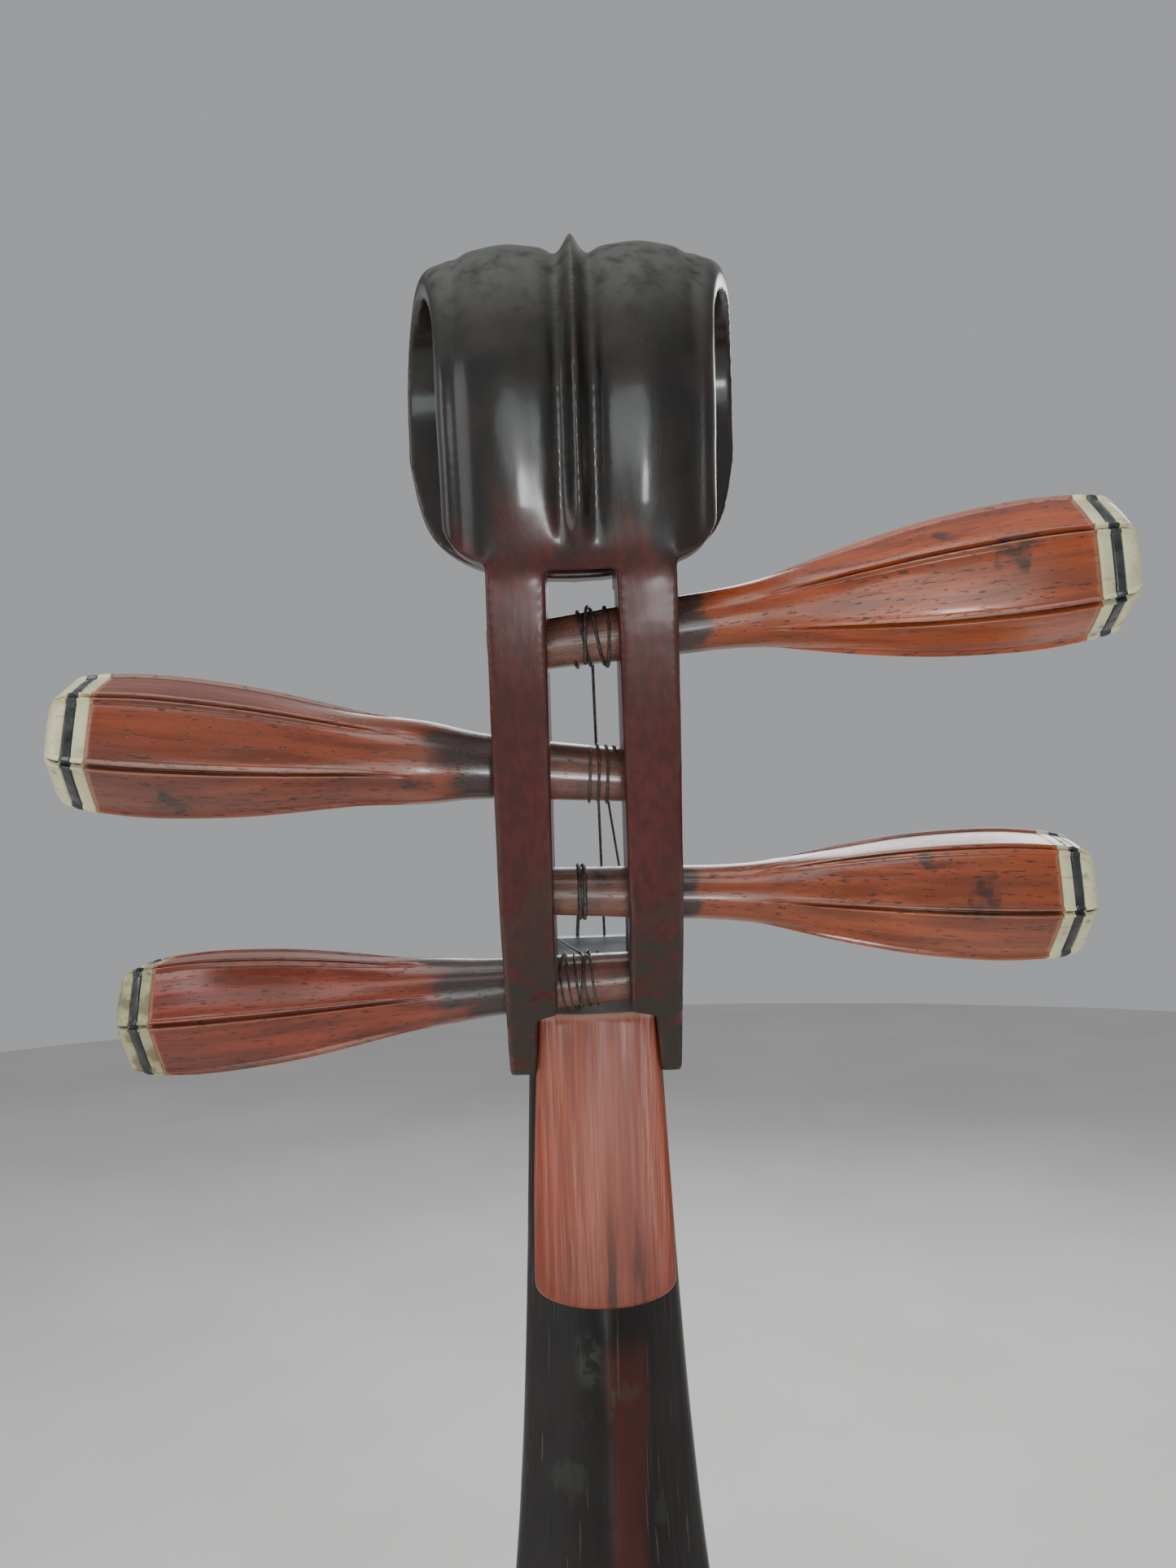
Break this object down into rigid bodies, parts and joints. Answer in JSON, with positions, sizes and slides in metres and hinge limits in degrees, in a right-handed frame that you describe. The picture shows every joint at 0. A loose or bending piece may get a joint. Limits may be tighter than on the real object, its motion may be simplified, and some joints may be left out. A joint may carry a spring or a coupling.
{
  "type": "plucked lute",
  "caption": "Pear-shaped four-string plucked lute with bent-back open pegbox, lateral six-sided pegs, curled fluted head, wedge and bamboo frets.",
  "frame": {"origin": "centre of the small flat at the tail end of the body", "axes": "+Z along the neck towards the head, soundboard and strings face -Y, carved back faces +Y"},
  "size_m": [0.269, 0.1114, 0.9054],
  "materials": {
    "lacquered_back": "worn dark lacquer",
    "soundboard_wood": "bare aged wood",
    "red_hardwood": "satin",
    "lacquered_head": "lacquer, glossy and dusty",
    "nut_horn": "polished horn",
    "bridge_bamboo": "satin",
    "xiang_horn": "polished horn",
    "fret_bamboo": "satin",
    "string_silk": "twisted silk",
    "bone_ring": "polished bone",
    "dark_ring": "polished horn",
    "bone_cap": "polished bone",
    "peg_wood": "polished hardwood",
    "inner_wood": "bare"
  },
  "bodies": {
    "instrument": {"back_and_neck": "lacquered_back", "bridge": "bridge_bamboo", "fret_1": "fret_bamboo", "fret_10": "fret_bamboo", "fret_11": "fret_bamboo", "fret_12": "fret_bamboo", "fret_2": "fret_bamboo", "fret_3": "fret_bamboo", "fret_4": "fret_bamboo", "fret_5": "fret_bamboo", "fret_6": "fret_bamboo", "fret_7": "fret_bamboo", "fret_8": "fret_bamboo", "fret_9": "fret_bamboo", "heel_block": "red_hardwood", "nut": "nut_horn", "pegbox_head": "lacquered_head", "sound_beam_lower": "inner_wood", "sound_beam_upper": "inner_wood", "sound_post_1": "inner_wood", "sound_post_2": "inner_wood", "sound_post_3": "inner_wood", "soundboard": "soundboard_wood", "string_1": "string_silk", "string_2": "string_silk", "string_3": "string_silk", "string_4": "string_silk", "xiang_1": "xiang_horn", "xiang_2": "xiang_horn", "xiang_3": "xiang_horn", "xiang_4": "xiang_horn"},
    "tuning_peg_1": {"peg_1": "peg_wood", "peg_ring_white_1": "bone_ring", "peg_ring_black_1": "dark_ring", "peg_cap_1": "bone_cap", "winding_1": "string_silk"},
    "tuning_peg_2": {"peg_2": "peg_wood", "peg_ring_white_2": "bone_ring", "peg_ring_black_2": "dark_ring", "peg_cap_2": "bone_cap", "winding_2": "string_silk"},
    "tuning_peg_3": {"peg_3": "peg_wood", "peg_ring_white_3": "bone_ring", "peg_ring_black_3": "dark_ring", "peg_cap_3": "bone_cap", "winding_3": "string_silk"},
    "tuning_peg_4": {"peg_4": "peg_wood", "peg_ring_white_4": "bone_ring", "peg_ring_black_4": "dark_ring", "peg_cap_4": "bone_cap", "winding_4": "string_silk"}
  },
  "joints": [
    {"name": "peg_1_turn", "type": "hinge", "parent": "instrument", "child": "tuning_peg_1", "pos_m": [0, 0.0582, 0.8293], "axis": [-0.9938, 0.0381, 0.1047], "continuous": true},
    {"name": "peg_2_turn", "type": "hinge", "parent": "instrument", "child": "tuning_peg_2", "pos_m": [0, 0.047, 0.803], "axis": [0.9945, 0.0425, 0.0955], "continuous": true},
    {"name": "peg_3_turn", "type": "hinge", "parent": "instrument", "child": "tuning_peg_3", "pos_m": [0, 0.0345, 0.7775], "axis": [-0.9988, -0.0252, -0.0419], "continuous": true},
    {"name": "peg_4_turn", "type": "hinge", "parent": "instrument", "child": "tuning_peg_4", "pos_m": [0, 0.0175, 0.756], "axis": [0.9971, -0.0493, -0.0588], "continuous": true}
  ]
}
